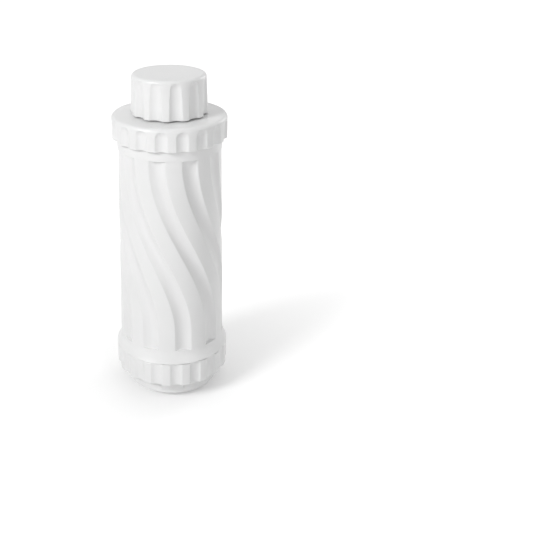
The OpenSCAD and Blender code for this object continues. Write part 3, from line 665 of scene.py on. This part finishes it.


# The valve spring, copied from the part file's mesh

springShape = bmesh.new()
springShape.from_mesh(frame["nodes"]["valve_spring"].data)
spring = makePiece("pressed_spring", springShape, finishes["stainless_steel"], "plug",
                   "valve_spring")
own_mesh(spring)


# Floor

floorMesh = bpy.data.meshes.new("floor")
floorShape = bmesh.new()
bmesh.ops.create_grid(floorShape, x_segments=1, y_segments=1, size=6)
floorShape.to_mesh(floorMesh)
floorShape.free()
floor = bpy.data.objects.new("floor", floorMesh)
bpy.context.scene.collection.objects.link(floor)


def seenByEye(nodes, links):
    # 1 where the camera, a reflection or a refraction looks
    path = nodes.new("ShaderNodeLightPath")
    total = path.outputs["Is Camera Ray"]
    for name in ("Is Glossy Ray", "Is Transmission Ray"):
        add = nodes.new("ShaderNodeMath")
        add.operation = "MAXIMUM"
        links.new(total, add.inputs[0])
        links.new(path.outputs[name], add.inputs[1])
        total = add.outputs["Value"]
    return total


floorMaterial = bpy.data.materials.new("pale floor")
floorMaterial.use_nodes = True
floorNodes, floorLinks = floorMaterial.node_tree.nodes, floorMaterial.node_tree.links
floorShader = floorNodes["Principled BSDF"]
floorShader.inputs["Base Color"].default_value = (0.8, 0.8, 0.8, 1)
floorShader.inputs["Roughness"].default_value = 0.9
floorShader.inputs["Specular IOR Level"].default_value = 0.1
floorShader.inputs["Emission Color"].default_value = (1, 1, 1, 1)
# the glow evens out the floor, which the lamps leave dimmer further off, and it is kept low next to
# the object's base, which paints a darker shade round the foot
floorPlace = floorNodes.new("ShaderNodeTexCoord")
floorReach = floorNodes.new("ShaderNodeVectorMath")
floorReach.operation = "LENGTH"
floorLinks.new(floorPlace.outputs["Object"], floorReach.inputs[0])
# nought at the base and full further off: the weaker glow near the base is painted shade
floorFade = floorNodes.new("ShaderNodeMapRange")
floorFade.inputs["From Min"].default_value = 0.02
floorFade.inputs["From Max"].default_value = 0.275
floorLinks.new(floorReach.outputs["Value"], floorFade.inputs["Value"])
floorRise = floorNodes.new("ShaderNodeMath")
floorRise.operation = "POWER"
floorRise.inputs[1].default_value = 0.75
floorLinks.new(floorFade.outputs["Result"], floorRise.inputs[0])
floorFull = floorNodes.new("ShaderNodeMath")
floorFull.operation = "MULTIPLY_ADD"
floorFull.inputs[1].default_value = 0.5
floorFull.inputs[2].default_value = 0.24
floorLinks.new(floorRise.outputs["Value"], floorFull.inputs[0])
floorGlowAndPaintedShade = floorNodes.new("ShaderNodeMath")
floorGlowAndPaintedShade.operation = "MULTIPLY"
floorLinks.new(floorFull.outputs["Value"], floorGlowAndPaintedShade.inputs[1])
floorLinks.new(seenByEye(floorNodes, floorLinks), floorGlowAndPaintedShade.inputs[0])
floorLinks.new(floorGlowAndPaintedShade.outputs["Value"], floorShader.inputs["Emission Strength"])
floorMesh.materials.append(floorMaterial)

# Light and camera

world = bpy.data.worlds.new("studio")
bpy.context.scene.world = world
world.use_nodes = True
worldNodes, worldLinks = world.node_tree.nodes, world.node_tree.links
background = worldNodes["Background"]
background.inputs["Color"].default_value = (1, 1, 1, 1)
strength = worldNodes.new("ShaderNodeMapRange")
strength.inputs["To Min"].default_value = 0.32
strength.inputs["To Max"].default_value = 1.0
worldLinks.new(seenByEye(worldNodes, worldLinks), strength.inputs["Value"])
worldLinks.new(strength.outputs["Result"], background.inputs["Strength"])

lamps = [  # aim is a height on the object's axis
    {"name": "key", "place": (-0.82, -0.66, 0.76), "aim": 0.08, "size": 0.45, "power": 9.0},
    {"name": "top", "place": (0.05, 0.15, 0.9), "aim": 0.1, "size": 0.5, "power": 0.9},
    {"name": "back", "place": (0.9, 0.75, 0.5), "aim": 0.08, "size": 0.6, "power": 3.0},
    {"name": "front fill", "place": (0.6, -1.0, 0.25), "aim": 0.06, "size": 0.8, "power": 3.2},
]
for lamp in lamps:
    light = bpy.data.lights.new(lamp["name"], "AREA")
    light.shape = "DISK"
    light.size = lamp["size"]
    light.energy = lamp["power"]
    lampObject = bpy.data.objects.new(lamp["name"], light)
    lampObject.location = lamp["place"]
    aim = Vector((0, 0, lamp["aim"])) - Vector(lamp["place"])
    lampObject.rotation_euler = aim.to_track_quat("-Z", "Y").to_euler()
    bpy.context.scene.collection.objects.link(lampObject)

camera = bpy.data.cameras.new("camera")
camera.lens = 56.474
camera.sensor_width = 36
camera.shift_x = 0.1378
camera.clip_start = 0.01
cameraObject = bpy.data.objects.new("camera", camera)
cameraObject.location = (0, -0.4023, 0.2647)
cameraObject.rotation_euler = (radians(90 - 26.137), 0, radians(-1.659))
bpy.context.scene.collection.objects.link(cameraObject)
bpy.context.scene.camera = cameraObject
bpy.context.scene.view_settings.view_transform = "Standard"
print("stage set")
